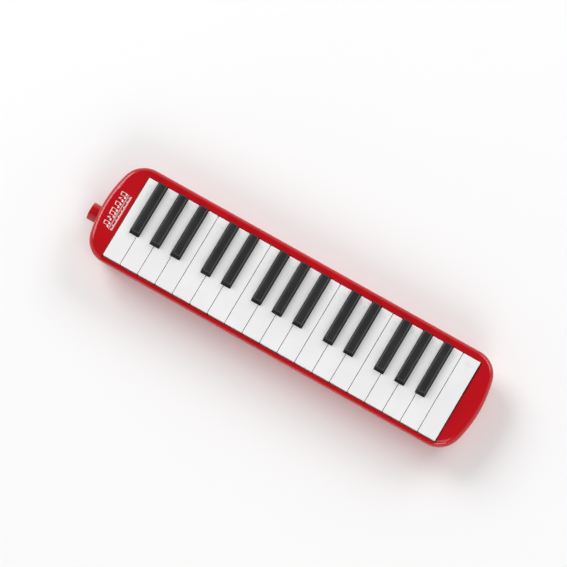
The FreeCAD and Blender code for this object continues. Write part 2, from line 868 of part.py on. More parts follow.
def frame_screws():
    rail_seat = frame_top + leaf_thickness + rail_thickness
    solids = [small_screw(x, chamber_front + flange / 2, frame_top, small_length, -1)
              for x in frame_screw_places]
    solids += [small_screw(x, axle_y - rail_front + rail_width / 2, rail_seat, small_length, -1)
               for x in rail_screw_places]
    return solids


# ---- keys ----
def lever(x, rear):
    """Arm, foot and bearing that every key has below its top; x is the middle of its tail."""
    arm = box(x - arm_width / 2, x + arm_width / 2, axle_y - arm_front, rear - arm_rear_gap,
              arm_base, white_top - key_plate + overlap)
    foot = box(x - arm_width / 2, x + arm_width / 2, pad_front + foot_margin, pad_rear - foot_margin,
               pad_top, arm_base + overlap)
    return [arm, foot]


def bearing(left, right):
    return rod_x(left - past, right + past, axle_y, axle_z, axle_diameter / 2 + axle_fit)


def pad(x):
    return box(x - pad_width / 2, x + pad_width / 2, pad_front, pad_rear, port_top, pad_top)


def white_key(i):
    left, right = white_span(keys[i][3])
    tail_left, tail_right = tail_span(i)
    wall_end = axle_y - side_wall_end
    plate_base = white_top - key_plate
    body = fuse([box(left, right, white_front, notch, white_base, white_top),
                 box(tail_left, tail_right, notch - past, wall_end, white_base, white_top),
                 box(tail_left, tail_right, notch, white_rear, plate_base, white_top)])
    corners = [(left, white_front), (right, white_front), (tail_left, white_rear), (tail_right, white_rear)]
    body = body.makeFillet(key_corner, upright_edges(body, corners))
    body = body.makeFillet(key_edge, edges_at_height(body, white_top))
    hollows = [box(left + key_wall, right - key_wall, white_front + key_wall, notch - key_wall,
                   white_base - past, plate_base),
               box(tail_left + key_wall, tail_right - key_wall, notch - key_wall - past, wall_end + past,
                   white_base - past, plate_base)]
    body = fuse([cut(body, hollows)] + lever(tails[i], white_rear))
    return [single(body.cut(bearing(tail_left, tail_right))), pad(tails[i])]


def black_body(left, right, front, rear, base):
    """Outer shape of a black key: upright walls, leaning flanks and a sloping nose with a toe."""
    shrink = (black_width - black_top_width) / 2
    lower = box(left, right, front, rear, base, white_top)
    section = [(left, white_top), (right, white_top), (right - shrink, black_top), (left + shrink, black_top)]
    points = [Vector(x, front, z) for x, z in section]
    upper = Part.Face(Part.makePolygon(points + points[:1])).extrude(Vector(0, rear - front, 0))
    ledge = white_top + toe_rise
    nose = [(front - past, ledge), (front + toe_depth, ledge), (front + toe_depth + nose_run, black_top),
            (front + toe_depth + nose_run, black_top + past), (front - past, black_top + past)]
    points = [Vector(left - past, y, z) for y, z in nose]
    cutter = Part.Face(Part.makePolygon(points + points[:1])).extrude(Vector(right - left + 2 * past, 0, 0))
    return fuse([lower, upper]).cut(cutter)


def black_key(i):
    left, right = tail_span(i)
    wall_end = axle_y - side_wall_end
    plate_base = white_top - key_plate
    body = black_body(left, right, black_front, black_rear, white_base)
    corners = [(left, black_front), (right, black_front)]
    body = body.makeFillet(black_corner, upright_edges(body, corners))
    middle = (left + right) / 2
    body = body.common(Part.makeCylinder(black_crown_radius, black_length + 2 * past,
                                         Vector(middle, black_front - past, black_top - black_crown_radius),
                                         Vector(0, 1, 0)))
    body = body.makeFillet(black_edge, [e for e in body.Edges if e.BoundBox.ZMin > black_top - black_edge])
    shrink = (black_width - black_top_width) / 2
    crown = black_top - key_plate
    hollows = [box(left + key_wall, right - key_wall, black_front + key_wall, wall_end + past,
                   white_base - past, plate_base),
               box(left + key_wall + shrink, right - key_wall - shrink,
                   black_front + toe_depth + nose_run + key_wall, wall_end, plate_base - past, crown),
               box(left - past, right + past, wall_end, black_rear + past, white_base - past, plate_base)]
    body = fuse([cut(body, hollows)] + lever(tails[i], black_rear))
    return [single(body.cut(bearing(left, right))), pad(tails[i])]


# ---- screws, drain valve and strap ----
def case_screws():
    length = case_height - case_hole_cap - case_tip_gap - screw_recess
    solids = [pan_screw(x, y, screw_recess, length, screw_shank, screw_head, screw_head_height, 1)
              for x, y in case_screws_at()]
    length = frame_top - frame_hole_cap - tip_gap - screw_recess
    solids += [pan_screw(x, y, screw_recess, length, screw_shank, screw_head, screw_head_height, 1)
               for x, y in frame_posts_at()]
    return solids


def drain_button():
    x, y = keyboard_right - drain_from_right, drain_y
    flange_base = case_wall + button_rest
    flange_top = flange_base + button_flange_thickness
    seal_base = chamber_base + chamber_floor
    seal_top = seal_base + valve_seal_thickness
    face = rod(x, y, button_recess, flange_base + overlap, button_diameter / 2)
    face = face.makeFillet(button_edge, [e for e in face.Edges if abs(e.CenterOfMass.z - button_recess) < 1e-4])
    return single(fuse([face,
                        rod(x, y, flange_base, flange_top, button_flange / 2),
                        rod(x, y, flange_top - overlap, seal_base, stem_diameter / 2),
                        rod(x, y, seal_base - overlap, seal_top + overlap, neck_diameter / 2),
                        rod(x, y, seal_top, seal_top + valve_head_thickness, valve_head / 2)]))


def drain_seal():
    x, y = keyboard_right - drain_from_right, drain_y
    base = chamber_base + chamber_floor
    ring = rod(x, y, base, base + valve_seal_thickness, valve_seal_diameter / 2)
    return single(ring.cut(rod(x, y, base - past, base + valve_seal_thickness + past, neck_diameter / 2)))


def drain_spring():
    x, y = keyboard_right - drain_from_right, drain_y
    low = case_wall + button_rest + button_flange_thickness + spring_wire / 2 + spring_clearance
    high = chamber_base - spring_wire / 2 - spring_clearance
    radius = spring_diameter / 2
    helix = Part.makeHelix((high - low) / spring_turns, high - low, radius)
    step = 2 * math.pi / spring_wire_sides
    corner = spring_wire / 2
    section = Part.makePolygon([Vector(radius + corner * math.cos(i * step), 0, corner * math.sin(i * step))
                                for i in range(spring_wire_sides + 1)])
    coil = Part.Wire(helix.Edges).makePipeShell([section], True, True)
    coil.translate(Vector(x, y, low))
    return single(coil)


def hand_strap():
    half_length = recess_length / 2 + ledge_length - strap_end_gap
    half = strap_width / 2
    body = box(recess_middle - half_length, recess_middle + half_length, -half, half, strap_base, ledge_depth)
    corners = [(recess_middle + sx * half_length, sy * half) for sx in (-1, 1) for sy in (-1, 1)]
    body = body.makeFillet(strap_corner, upright_edges(body, corners))
    return single(cut(body, [rod(x, y, strap_base - past, ledge_depth + past, small_hole)
                             for x, y in strap_screws_at()]))


def strap_anchor_plates():
    plates = []
    offset = recess_length / 2 + ledge_length / 2
    for sx in (-1, 1):
        x = recess_middle + sx * offset
        half = strap_width / 2 - anchor_inset
        body = box(x - anchor_length / 2, x + anchor_length / 2, -half, half,
                   strap_base - anchor_thickness, strap_base)
        corners = [(x + a * anchor_length / 2, b * half) for a in (-1, 1) for b in (-1, 1)]
        body = body.makeFillet(anchor_corner, upright_edges(body, corners))
        holes = [rod(px, py, -past, strap_base + past, small_hole) for px, py in strap_screws_at()]
        plates.append(single(cut(body, holes)))
    return plates


def strap_screws():
    seat = strap_base - anchor_thickness
    return [pan_screw(x, y, seat, small_length, small_shank, strap_screw_head, strap_screw_head_height, 1)
            for x, y in strap_screws_at()]


def main():
    os.makedirs("parts", exist_ok=True)
    export("top_cover", top_cover())
    export("bottom_cover", bottom_cover())
    export("mouthpiece_socket", socket())
    export("wind_duct", wind_duct())
    export("duct_seals", duct_seals())
    export("reed_chamber", reed_chamber())
    export("chamber_cover", chamber_cover())
    export("chamber_gasket", chamber_gasket())
    export("reed_plate_low", reed_plate(False))
    export("reed_plate_high", reed_plate(True))
    export("reeds", reeds())
    export("reed_rivets", reed_rivets())
    export("reed_plate_screws", reed_plate_screws())
    export("chamber_screws", chamber_screws())
    export("key_frame", key_frame())
    export("key_axle", key_axle())
    export("key_springs", key_springs())
    export("spring_rail", spring_rail())
    export("white_key_felt", white_felt())
    export("black_key_felt", black_felt_strip())
    export("frame_screws", frame_screws())
    export("case_screws", case_screws())
    export("drain_button", drain_button())
    export("drain_seal", drain_seal())
    export("drain_spring", drain_spring())
    export("hand_strap", hand_strap())
    export("strap_anchor_plates", strap_anchor_plates())
    export("strap_screws", strap_screws())
    for i, (name, octave, black, whites) in enumerate(keys):
        kind = "black_key_" if black else "white_key_"
        export(kind + name + str(octave), black_key(i) if black else white_key(i))


main()
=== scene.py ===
import json
import math

import bmesh
import bpy
from mathutils import Matrix, Vector


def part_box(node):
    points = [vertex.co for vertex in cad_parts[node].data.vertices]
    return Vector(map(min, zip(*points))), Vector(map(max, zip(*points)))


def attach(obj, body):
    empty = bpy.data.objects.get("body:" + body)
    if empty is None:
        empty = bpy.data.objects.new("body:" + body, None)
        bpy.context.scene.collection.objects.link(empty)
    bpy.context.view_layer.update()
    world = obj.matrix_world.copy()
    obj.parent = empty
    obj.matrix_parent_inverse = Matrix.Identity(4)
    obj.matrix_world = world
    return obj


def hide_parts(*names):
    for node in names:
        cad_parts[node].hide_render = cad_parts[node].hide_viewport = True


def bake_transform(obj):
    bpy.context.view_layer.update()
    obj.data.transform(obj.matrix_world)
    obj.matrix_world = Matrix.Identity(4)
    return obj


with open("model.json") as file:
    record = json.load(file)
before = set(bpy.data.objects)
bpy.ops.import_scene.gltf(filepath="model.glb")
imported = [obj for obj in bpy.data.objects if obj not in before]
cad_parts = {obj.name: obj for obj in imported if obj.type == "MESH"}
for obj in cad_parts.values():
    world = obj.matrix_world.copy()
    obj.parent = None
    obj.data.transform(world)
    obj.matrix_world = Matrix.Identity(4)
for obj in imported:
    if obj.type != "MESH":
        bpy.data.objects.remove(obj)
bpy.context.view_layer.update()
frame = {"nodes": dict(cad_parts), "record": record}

# Melodica: finishes for the moulded, metal and rubber parts, raised note names on the white keys,
# a printed motif on the left deck, the stitched hand strap, and leaf springs and a coil. Metres, in
# the part's own frame.

MM = 0.001

# ---- camera and light ----
VIEW_AZIMUTH = 30.05
VIEW_ELEVATION = 75.1
VIEW_POINT = Vector((-0.0172, 0.0153, 0.042))
VIEW_WIDTH = 0.5623
LENS_DISTANCE = 6.0
VIEW_DEPTH = 50.0
SKY_AT_HORIZON = 0.94
SKY_OVERHEAD = 0.10
SKY_FADE = (0.30, 0.85)         # heights between which the sky goes from one to the other
SOFTBOXES = (                   # name, place, width, depth and power; each faces the origin
    ("key_light", (-3.4, 1.2, 3.1), 2.6, 2.6, 114.0),
    ("front_fill", (2.4, -3.4, 2.8), 2.6, 2.2, 66.0),
    ("rear_fill", (1.4, 3.6, 2.8), 2.6, 2.0, 60.0),
    ("overhead_strip", (1.15, -0.5, 3.6), 0.9, 2.6, 16.0),
)
FLOOR_HALF = 3.0
FLOOR_DROP = 0.2 * MM           # below the case's base

# ---- finishes ----
MIX_AMOUNT, MIX_LOW, MIX_HIGH, MIX_RESULT = 0, 6, 7, 2     # colour sockets of a Mix node
PAD_RUBBER = (0.022, 0.022, 0.023)
RUBBER_BELOW = 29.60 * MM       # the pads under the keys' tails
PLASTIC_ABOVE = 29.70 * MM      # their levers

# ---- raised note names ----
NOTE_WORDS = {"c": "Do", "d": "Re", "e": "Mi", "f": "Fa", "g": "Sol", "a": "La", "b": "Si"}
NOTE_DIGITS = {"c": "1", "d": "2", "e": "3", "f": "4", "g": "5", "a": "6", "b": "7"}
MIDDLE_OCTAVE = 4
WORD_HEIGHT = 3.6 * MM
DIGIT_HEIGHT = 4.6 * MM
WORD_SETBACK = 6.0 * MM         # rear end of a key to the top of its word
DIGIT_GAP = 3.6 * MM
DOT_GAP = 0.6 * MM
DOT_RADIUS = 0.55 * MM
DOT_PITCH = 2.6                 # in radii
DOT_SIDES = 16
DOT_PROFILE = ((0.0, 1.0), (0.55, 0.95), (0.85, 0.7), (0.97, 0.38))    # rise and size
LABEL_RISE = 0.28 * MM
LABEL_SINK = 0.12 * MM
LABEL_MARGIN = 1.2 * MM
LABEL_EDGE = 0.06 * MM          # softening of the lettering's edges
CAPITAL_SHARE = 0.72            # a capital's height in the lettering's size
WELD = 0.001 * MM

# ---- deck motif ----
MOTIF_TOP = -204.6 * MM         # its upper side faces the end of the case
MOTIF_BASE = -192.4 * MM
MOTIF_START = -22.5 * MM
MOTIF_END = 17.5 * MM
INK_THICKNESS = 0.04 * MM
INK_STEP = 0.2                  # each kind of mark is this share thicker than the last
HEAD_LENGTH = 1.25 * MM
HEAD_WIDTH = 0.78               # of its length
HEAD_TILT = 0.35                # radians
HEAD_SIDES = 20
STEM_WIDTH = 0.42 * MM
BEAM_WIDTH = 0.85 * MM
NOTE_PITCH = 3.45 * MM
NOTE_START = 1.8 * MM
GROUP_GAP = 0.55 * MM
NOTE_GROUPS = ((2, 0.0), (1, 0.9 * MM), (3, -0.4 * MM), (2, 0.6 * MM), (1, 0.2 * MM), (2, -0.3 * MM))
FLAG = ((0.0, 0.0), (0.0, 1.6 * MM), (1.5 * MM, 3.2 * MM), (1.1 * MM, 1.4 * MM))
RULES = ((0.34, 0.35 * MM), (0.28, 0.18 * MM))      # height in the motif, and thickness
NOTE_FOOT = 0.50                # of the motif's height
CREST_GAP = 0.6 * MM
BAR_COUNT = 26
LONG_BARS = (0, 3)              # of each seven
LONG_BAR, SHORT_BAR = 0.20, 0.13
BAR_SHARE = 0.62                # of the bars' pitch

# ---- hand strap ----
STRAP_SAG = 0.5 * MM
STRAP_CORNER = 3.0 * MM
LEAST_CORNER = 0.4 * MM
CORNER_ANGLES = (0.4, 0.8, 1.2)
LENGTH_STATIONS = 60
END_STATIONS = 8
HELD_SHARE = 0.14               # of the strap's length, at each end
STRAP_SMOOTH = 50.0             # degrees
SEAM_INSET = 2.2 * MM
SEAM_LEVEL = 0.80               # the seam's trough, as a share of half the thickness
STRAP_PROFILE = (               # inset from the edge, and height as a share of half the thickness
    (0.0, 0.45), (0.12 * MM, 0.78), (0.5 * MM, 0.97), (SEAM_INSET - 0.9 * MM, 1.0),
    (SEAM_INSET - 0.35 * MM, 0.90), (SEAM_INSET, SEAM_LEVEL), (SEAM_INSET + 0.35 * MM, 0.90),
    (SEAM_INSET + 0.9 * MM, 1.0), (SEAM_INSET + 4.0 * MM, 1.0),
)
STITCH_LENGTH = 2.6 * MM
STITCH_PITCH = 3.6 * MM
THREAD_RADIUS = 0.22 * MM
THREAD_SIDES = 8
THREAD_RISE = 0.12 * MM
THREAD_DIP = 0.25 * MM          # at a stitch's ends, where it enters the strap
THREAD_ARCH = (0.12, 0.76)      # where a stitch's arch starts and how far it goes, of a half turn
STITCH_PROFILE = ((0.0, 0.45), (0.12, 0.85), (0.3, 1.0), (0.7, 1.0), (0.88, 0.85), (1.0, 0.45))

# ---- springs ----
LEAF_THICKNESS = 0.35 * MM
LEAF_BEVEL = 0.05 * MM
LEAF_TIP_WIDTH = 0.8            # of the width at its root
LEAF_STATIONS = 12
COIL_WIRE = 0.4 * MM            # radius
COIL_TURNS = 4
COIL_STEPS = 32                 # for each turn
WIRE_SIDES = 12


# ---- shader building ----
class Level:
    """A number that varies over a surface. Arithmetic on it adds Math nodes to its finish."""

    def __init__(self, finish, socket):
        self.finish = finish
        self.socket = socket

    def math(self, operation, first, second):
        return self.finish.level("ShaderNodeMath", {"operation": operation}, {0: first, 1: second})

    def __add__(self, other):
        return self.math("ADD", self, other)

    def __sub__(self, other):
        return self.math("SUBTRACT", self, other)

    def __rsub__(self, other):
        return self.math("SUBTRACT", other, self)

    def __mul__(self, other):
        return self.math("MULTIPLY", self, other)

    __radd__ = __add__
    __rmul__ = __mul__

    def between(self, low, high):
        """0 below low, 1 above high and smooth in between."""
        return self.finish.level("ShaderNodeMapRange", {"interpolation_type": "SMOOTHSTEP"},
                                 {"Value": self, "From Min": low, "From Max": high})


class Finish:
    """One node material, built in the part's own frame so that grain sizes are real."""

    def __init__(self, name):
        self.material = bpy.data.materials.new(name)
        self.material.use_nodes = True
        self.tree = self.material.node_tree
        self.tree.nodes.clear()
        self.place = self.node("ShaderNodeTexCoord", {}, {}, "Object")

    def node(self, kind, settings, sockets, output=0):
        made = self.tree.nodes.new(kind)
        for name, value in settings.items():
            setattr(made, name, value)
        for name, value in sockets.items():
            if isinstance(value, Level):
                value = value.socket
            if isinstance(value, bpy.types.NodeSocket):
                self.tree.links.new(value, made.inputs[name])
            else:
                made.inputs[name].default_value = value
        return made.outputs[output] if made.outputs else None

    def level(self, kind, settings, sockets, output=0):
        return Level(self, self.node(kind, settings, sockets, output))

    def stretched(self, factors):
        return self.node("ShaderNodeVectorMath", {"operation": "MULTIPLY"},
                         {0: self.place, 1: factors})

    def noise(self, scale, detail=2.0, stretch=(1.0, 1.0, 1.0)):
        return self.level("ShaderNodeTexNoise", {},
                          {"Vector": self.stretched(stretch), "Scale": scale, "Detail": detail})

    def cells(self, scale, feature="DISTANCE_TO_EDGE"):
        return self.level("ShaderNodeTexVoronoi", {"feature": feature},
                          {"Vector": self.place, "Scale": scale})

    def height(self):
        return self.level("ShaderNodeSeparateXYZ", {}, {0: self.place}, "Z")

    def tint(self, amount, low, high):
        """Colour from low to high as amount goes from 0 to 1."""
        return self.node("ShaderNodeMix", {"data_type": "RGBA"},
                         {MIX_AMOUNT: amount, MIX_LOW: low, MIX_HIGH: high}, MIX_RESULT)

    def surface(self, varying, fixed, relief=None, depth=0.0):
        sockets = dict(fixed)
        sockets.update(varying)
        if relief is not None:
            sockets["Normal"] = self.node("ShaderNodeBump", {}, {"Height": relief, "Distance": depth},
                                          "Normal")
        shader = self.node("ShaderNodeBsdfPrincipled", {}, sockets, "BSDF")
        self.node("ShaderNodeOutputMaterial", {}, {"Surface": shader})
        return self.material


def rgb(red, green, blue):
    return (red, green, blue, 1.0)


def under_tail(finish):
    """1 on the rubber pad under a key's tail, 0 on its lever."""
    return 1.0 - finish.height().between(RUBBER_BELOW, PLASTIC_ABOVE)


# ---- finishes ----
def moulded_red():
    finish = Finish("red_case_gloss")
    cloud = finish.noise(14.0, 3.0).between(0.35, 0.65)
    scuffs = finish.noise(420.0, 4.0, (0.25, 1.0, 1.0)).between(0.60, 0.78)
    colour = finish.tint(cloud, rgb(0.440, 0.0025, 0.0070), rgb(0.485, 0.0035, 0.0090))
    ripple = finish.noise(95.0, 1.0) * 0.7 + finish.noise(900.0, 2.0) * 0.05
    return finish.surface({"Base Color": colour, "Roughness": scuffs * 0.07 + cloud * 0.02 + 0.13},
                          {"IOR": 1.50}, ripple, 0.00006)


def key_white():
    finish = Finish("white_key_gloss")
    cloud = finish.noise(30.0, 3.0).between(0.35, 0.65)
    wear = finish.noise(500.0, 4.0, (1.0, 0.2, 1.0)).between(0.58, 0.8)
    rubber = under_tail(finish)
    plastic = finish.tint(cloud, rgb(0.815, 0.815, 0.815), rgb(0.845, 0.845, 0.845))
    colour = finish.tint(rubber, plastic, rgb(*PAD_RUBBER))
    shine = wear * 0.08 + cloud * 0.03 + 0.20
    return finish.surface({"Base Color": colour, "Roughness": shine + rubber * 0.5},
                          {"IOR": 1.49}, finish.noise(160.0, 2.0), 0.00004)


def key_black():
    finish = Finish("black_key_satin")
    cloud = finish.noise(40.0, 3.0).between(0.35, 0.65)
    pores = finish.noise(2600.0, 2.0)
    rubber = under_tail(finish)
    plastic = finish.tint(cloud, rgb(0.0105, 0.0105, 0.0115), rgb(0.0150, 0.0150, 0.0160))
    colour = finish.tint(rubber, plastic, rgb(*PAD_RUBBER))
    shine = pores * 0.08 + cloud * 0.03 + 0.30
    return finish.surface({"Base Color": colour, "Roughness": shine + rubber * 0.4},
                          {"IOR": 1.50}, pores + finish.noise(120.0, 1.0), 0.00003)


def grained_plastic(name, dark, light):
    finish = Finish(name)
    cloud = finish.noise(35.0, 3.0).between(0.3, 0.7)
    grain = finish.cells(1400.0, "F1")
    return finish.surface({"Base Color": finish.tint(cloud, dark, light),
                           "Roughness": grain * 0.15 + 0.42},
                          {"IOR": 1.50}, grain + finish.noise(3000.0, 2.0) * 0.4, 0.00004)


def seal_rubber():
    finish = Finish("soft_rubber_matte")
    bloom = finish.noise(60.0, 4.0).between(0.4, 0.75)
    pores = finish.noise(2400.0, 3.0)
    colour = finish.tint(bloom, rgb(0.014, 0.014, 0.015), rgb(0.032, 0.032, 0.034))
    return finish.surface({"Base Color": colour,
                           "Roughness": bloom * 0.1 + 0.66}, {"IOR": 1.47}, pores, 0.00005)


def rolled_brass():
    finish = Finish("reed_brass_rolled")
    tarnish = finish.noise(45.0, 5.0).between(0.42, 0.75)
    rolling = finish.noise(900.0, 3.0, (0.05, 1.0, 1.0))
    colour = finish.tint(tarnish, rgb(0.78, 0.54, 0.21), rgb(0.58, 0.36, 0.13))
    return finish.surface({"Base Color": colour,
                           "Roughness": rolling * 0.16 + tarnish * 0.12 + 0.18},
                          {"Metallic": 1.0}, rolling, 0.00002)


def plated_steel(name, dark, light, smooth):
    finish = Finish(name)
    spots = finish.noise(80.0, 5.0).between(0.4, 0.75)
    drawn = finish.noise(1500.0, 3.0, (0.08, 1.0, 1.0))
    return finish.surface({"Base Color": finish.tint(spots, light, dark),
                           "Roughness": drawn * 0.12 + spots * 0.1 + smooth},
                          {"Metallic": 1.0}, drawn, 0.00001)


def wool_felt():
    finish = Finish("red_felt_wool")
    fibres = finish.noise(1800.0, 6.0, (1.0, 1.0, 2.5))
    fluff = finish.noise(260.0, 4.0).between(0.35, 0.65)
    colour = finish.tint(fluff, rgb(0.20, 0.010, 0.014), rgb(0.33, 0.025, 0.030))
    return finish.surface({"Base Color": colour,
                           "Roughness": fibres * 0.1 + 0.85},
                          {"Sheen Weight": 0.5, "Sheen Roughness": 0.5}, fibres + fluff * 0.5, 0.0003)


def strap_leatherette():
    finish = Finish("strap_leatherette")
    folds = finish.cells(620.0).between(0.0, 0.16)
    pebbles = finish.noise(850.0, 3.0)
    worn = finish.noise(38.0, 4.0).between(0.5, 0.8)
    colour = finish.tint(worn, rgb(0.0135, 0.0130, 0.0130), rgb(0.0310, 0.0295, 0.0290))
    return finish.surface({"Base Color": colour, "Roughness": worn * 0.12 - folds * 0.10 + 0.55},
                          {"IOR": 1.48}, folds + pebbles * 0.5, 0.00016)


def spun_thread():
    finish = Finish("strap_thread")
    twist = finish.noise(2600.0, 2.0, (1.0, 3.0, 1.0))
    colour = finish.tint(twist, rgb(0.030, 0.030, 0.030), rgb(0.075, 0.075, 0.078))
    return finish.surface({"Base Color": colour,
                           "Roughness": twist * 0.1 + 0.6}, {"Sheen Weight": 0.2}, twist, 0.00008)


def printed_ink():
    finish = Finish("deck_motif_ink")
    speckle = finish.noise(1700.0, 3.0).between(0.55, 0.8)
    colour = finish.tint(speckle, rgb(0.76, 0.75, 0.74), rgb(0.62, 0.60, 0.59))
    return finish.surface({"Base Color": colour,
                           "Roughness": speckle * 0.15 + 0.30}, {"IOR": 1.5}, speckle, 0.00001)


# ---- mesh helpers ----
def add_piece(name, form, finish, body, smooth_angle=30.0):
    """A smooth-shaded piece from a filled bmesh. It rides on its body, if one is given."""
    mesh = bpy.data.meshes.new(name)
    bmesh.ops.recalc_face_normals(form, faces=form.faces)
    form.to_mesh(mesh)
    form.free()
    mesh.materials.append(finish)
    piece = bpy.data.objects.new(name, mesh)
    bpy.context.scene.collection.objects.link(piece)
    mesh.shade_smooth()
    mesh.set_sharp_from_angle(angle=math.radians(smooth_angle))
    if body:
        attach(piece, body)
    return piece


def wrap(form, first, second):
    """A band of faces between two closed rings of equal count."""
    count = len(first)
    for a in range(count):
        b = (a + 1) % count
        form.faces.new((first[a], first[b], second[b], second[a]))


def tube(form, rings):
    """Closes a row of rings of equal count into a skin with flat ends."""
    skins = [[form.verts.new(point) for point in ring] for ring in rings]
    for first, second in zip(skins, skins[1:]):
        wrap(form, first, second)
    form.faces.new(skins[0][::-1])
    form.faces.new(skins[-1])


def circle(sides):
    """Cosine and sine of each corner of a regular outline."""
    return [(math.cos(i * math.tau / sides), math.sin(i * math.tau / sides)) for i in range(sides)]


def plate_from(form, outline, low, high, place):
    """A thin closed plate on a counter-clockwise outline, with place(u, v) giving x and y."""
    tube(form, [[(*place(u, v), z) for u, v in outline] for z in (low, high)])


def letters(text, height):
    """A mesh of raised lettering with softened edges, its height set by its capitals, lying in z."""
    curve = bpy.data.curves.new("lettering", "FONT")
    curve.body = text
    curve.align_x = "CENTER"
    curve.size = height / CAPITAL_SHARE
    curve.extrude = (LABEL_RISE + LABEL_SINK) / 2 - LABEL_EDGE
    curve.bevel_depth = LABEL_EDGE
    curve.bevel_resolution = 1
    curve.resolution_u = 6
    holder = bpy.data.objects.new("lettering", curve)
    bpy.context.scene.collection.objects.link(holder)
    bpy.context.view_layer.update()
    shaped = holder.evaluated_get(bpy.context.evaluated_depsgraph_get())
    mesh = bpy.data.meshes.new_from_object(shaped)
    bpy.data.objects.remove(holder)
    bpy.data.curves.remove(curve)
    return mesh


def join_lettering(form, text, height, middle, top, base, widest):
    """Adds text to form, centred on middle with its upper edge at top, squeezed to widest if need be."""
    mesh = letters(text, height)
    xs = [v.co.x for v in mesh.vertices]
    ys = [v.co.y for v in mesh.vertices]
    zs = [v.co.z for v in mesh.vertices]
    squeeze = min(1.0, widest / (max(xs) - min(xs)))
    mesh.transform(Matrix.Translation((middle, top - max(ys), base - min(zs)))
                   @ Matrix.Diagonal((squeeze, 1.0, 1.0, 1.0))
                   @ Matrix.Translation((-(max(xs) + min(xs)) / 2, 0.0, 0.0)))
    form.from_mesh(mesh)
    bpy.data.meshes.remove(mesh)
    return top - (max(ys) - min(ys))


def add_dot(form, x, y, base):
    """A low dome, the octave dot of a note number."""
    tube(form, [[(x + size * DOT_RADIUS * across, y + size * DOT_RADIUS * along,
                  base + rise * (LABEL_RISE + LABEL_SINK)) for across, along in circle(DOT_SIDES)]
                for rise, size in DOT_PROFILE])


# ---- raised note names ----
def clear_width(key, black_boxes):
    """The part of a white key's top that its black neighbours leave free at its rear end."""
    low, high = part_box(key)
    left, right = low.x, high.x
    for black_low, black_high in black_boxes:
        if black_low.x < low.x < black_high.x:
            left = black_high.x
        if black_low.x < high.x < black_high.x:
            right = black_low.x
    return left, right, high.y, high.z


def keys_of(colour):
    family = colour + "_key_"
    return [node for node in frame["nodes"] if node.startswith(family) and node != family + "felt"]


def note_labels(finish):
    """Raised word, number and octave dots at the rear of each white key."""
    black_boxes = [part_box(key) for key in keys_of("black")]
    for key in keys_of("white"):
        note = key.rsplit("_", 1)[1]
        left, right, rear, top = clear_width(key, black_boxes)
        middle = (left + right) / 2
        widest = right - left - 2 * LABEL_MARGIN
        base = top - LABEL_SINK
        form = bmesh.new()
        word_end = join_lettering(form, NOTE_WORDS[note[0]], WORD_HEIGHT, middle,
                                  rear - WORD_SETBACK, base, widest)
        digit_top = word_end - DIGIT_GAP
        digit_end = join_lettering(form, NOTE_DIGITS[note[0]], DIGIT_HEIGHT, middle,
                                   digit_top, base, widest)
        octave = int(note[1]) - MIDDLE_OCTAVE
        for i in range(abs(octave)):
            away = DOT_GAP + DOT_RADIUS * (1 + DOT_PITCH * i)
            add_dot(form, middle, digit_top + away if octave > 0 else digit_end - away, base)
        bmesh.ops.remove_doubles(form, verts=form.verts, dist=WELD)
        add_piece("note_name_" + note, form, finish, key + "_lever")


# ---- printed motif ----
def motif_place(u, v):
    """u runs along the motif from the front, v up from its baseline."""
    return MOTIF_BASE - v, MOTIF_START + u


def slanted_bar(u0, v0, u1, v1, thickness):
    half = thickness / 2
    return [(u0, v0 - half), (u1, v1 - half), (u1, v1 + half), (u0, v0 + half)]


def upright_bar(u0, u1, v0, v1):
    return [(u0, v0), (u1, v0), (u1, v1), (u0, v1)]


def note_head(u, v):
    turned = Matrix.Rotation(HEAD_TILT, 2)
    return [tuple(Vector((u, v)) + turned @ Vector((HEAD_LENGTH * along, HEAD_LENGTH * HEAD_WIDTH * across)))
            for along, across in circle(HEAD_SIDES)]


def deck_motif(finish):
    """Beamed notes above two rules and a row of bars, printed on the left deck."""
    form = bmesh.new()
    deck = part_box("top_cover")[1].z
    layers = {}
    length = MOTIF_END - MOTIF_START
    tall = MOTIF_BASE - MOTIF_TOP
    foot, crest = NOTE_FOOT * tall, tall - CREST_GAP

    def draw(kind, outline):
        """A print layer of its own for each kind of mark, so that none shares its face with another."""
        high = deck + INK_THICKNESS * (1 + INK_STEP * layers.setdefault(kind, len(layers)))
        plate_from(form, outline, deck - INK_THICKNESS, high, motif_place)

    u = NOTE_START
    for count, lift in NOTE_GROUPS:
        first = u
        for i in range(count):
            low = foot + lift * (1 - i / 2)
            draw("head", note_head(u, low))
            draw("stem", upright_bar(u + HEAD_LENGTH - STEM_WIDTH, u + HEAD_LENGTH, low, crest))
            u += NOTE_PITCH
        if count > 1:
            draw("beam", slanted_bar(first + HEAD_LENGTH - STEM_WIDTH, crest - BEAM_WIDTH / 2,
                                     u - NOTE_PITCH + HEAD_LENGTH, crest, BEAM_WIDTH))
        else:
            draw("beam", [(first + HEAD_LENGTH + du, crest - dv) for du, dv in reversed(FLAG)])
        u += GROUP_GAP
    for share, thickness in RULES:
        draw("line", slanted_bar(0.0, share * tall, length, share * tall, thickness))
    pitch = length / BAR_COUNT
    for i in range(BAR_COUNT):
        rise = tall * (LONG_BAR if i % 7 in LONG_BARS else SHORT_BAR)
        draw("line", upright_bar(i * pitch, (i + BAR_SHARE) * pitch, 0.0, rise))
    add_piece("deck_motif", form, finish, "case")


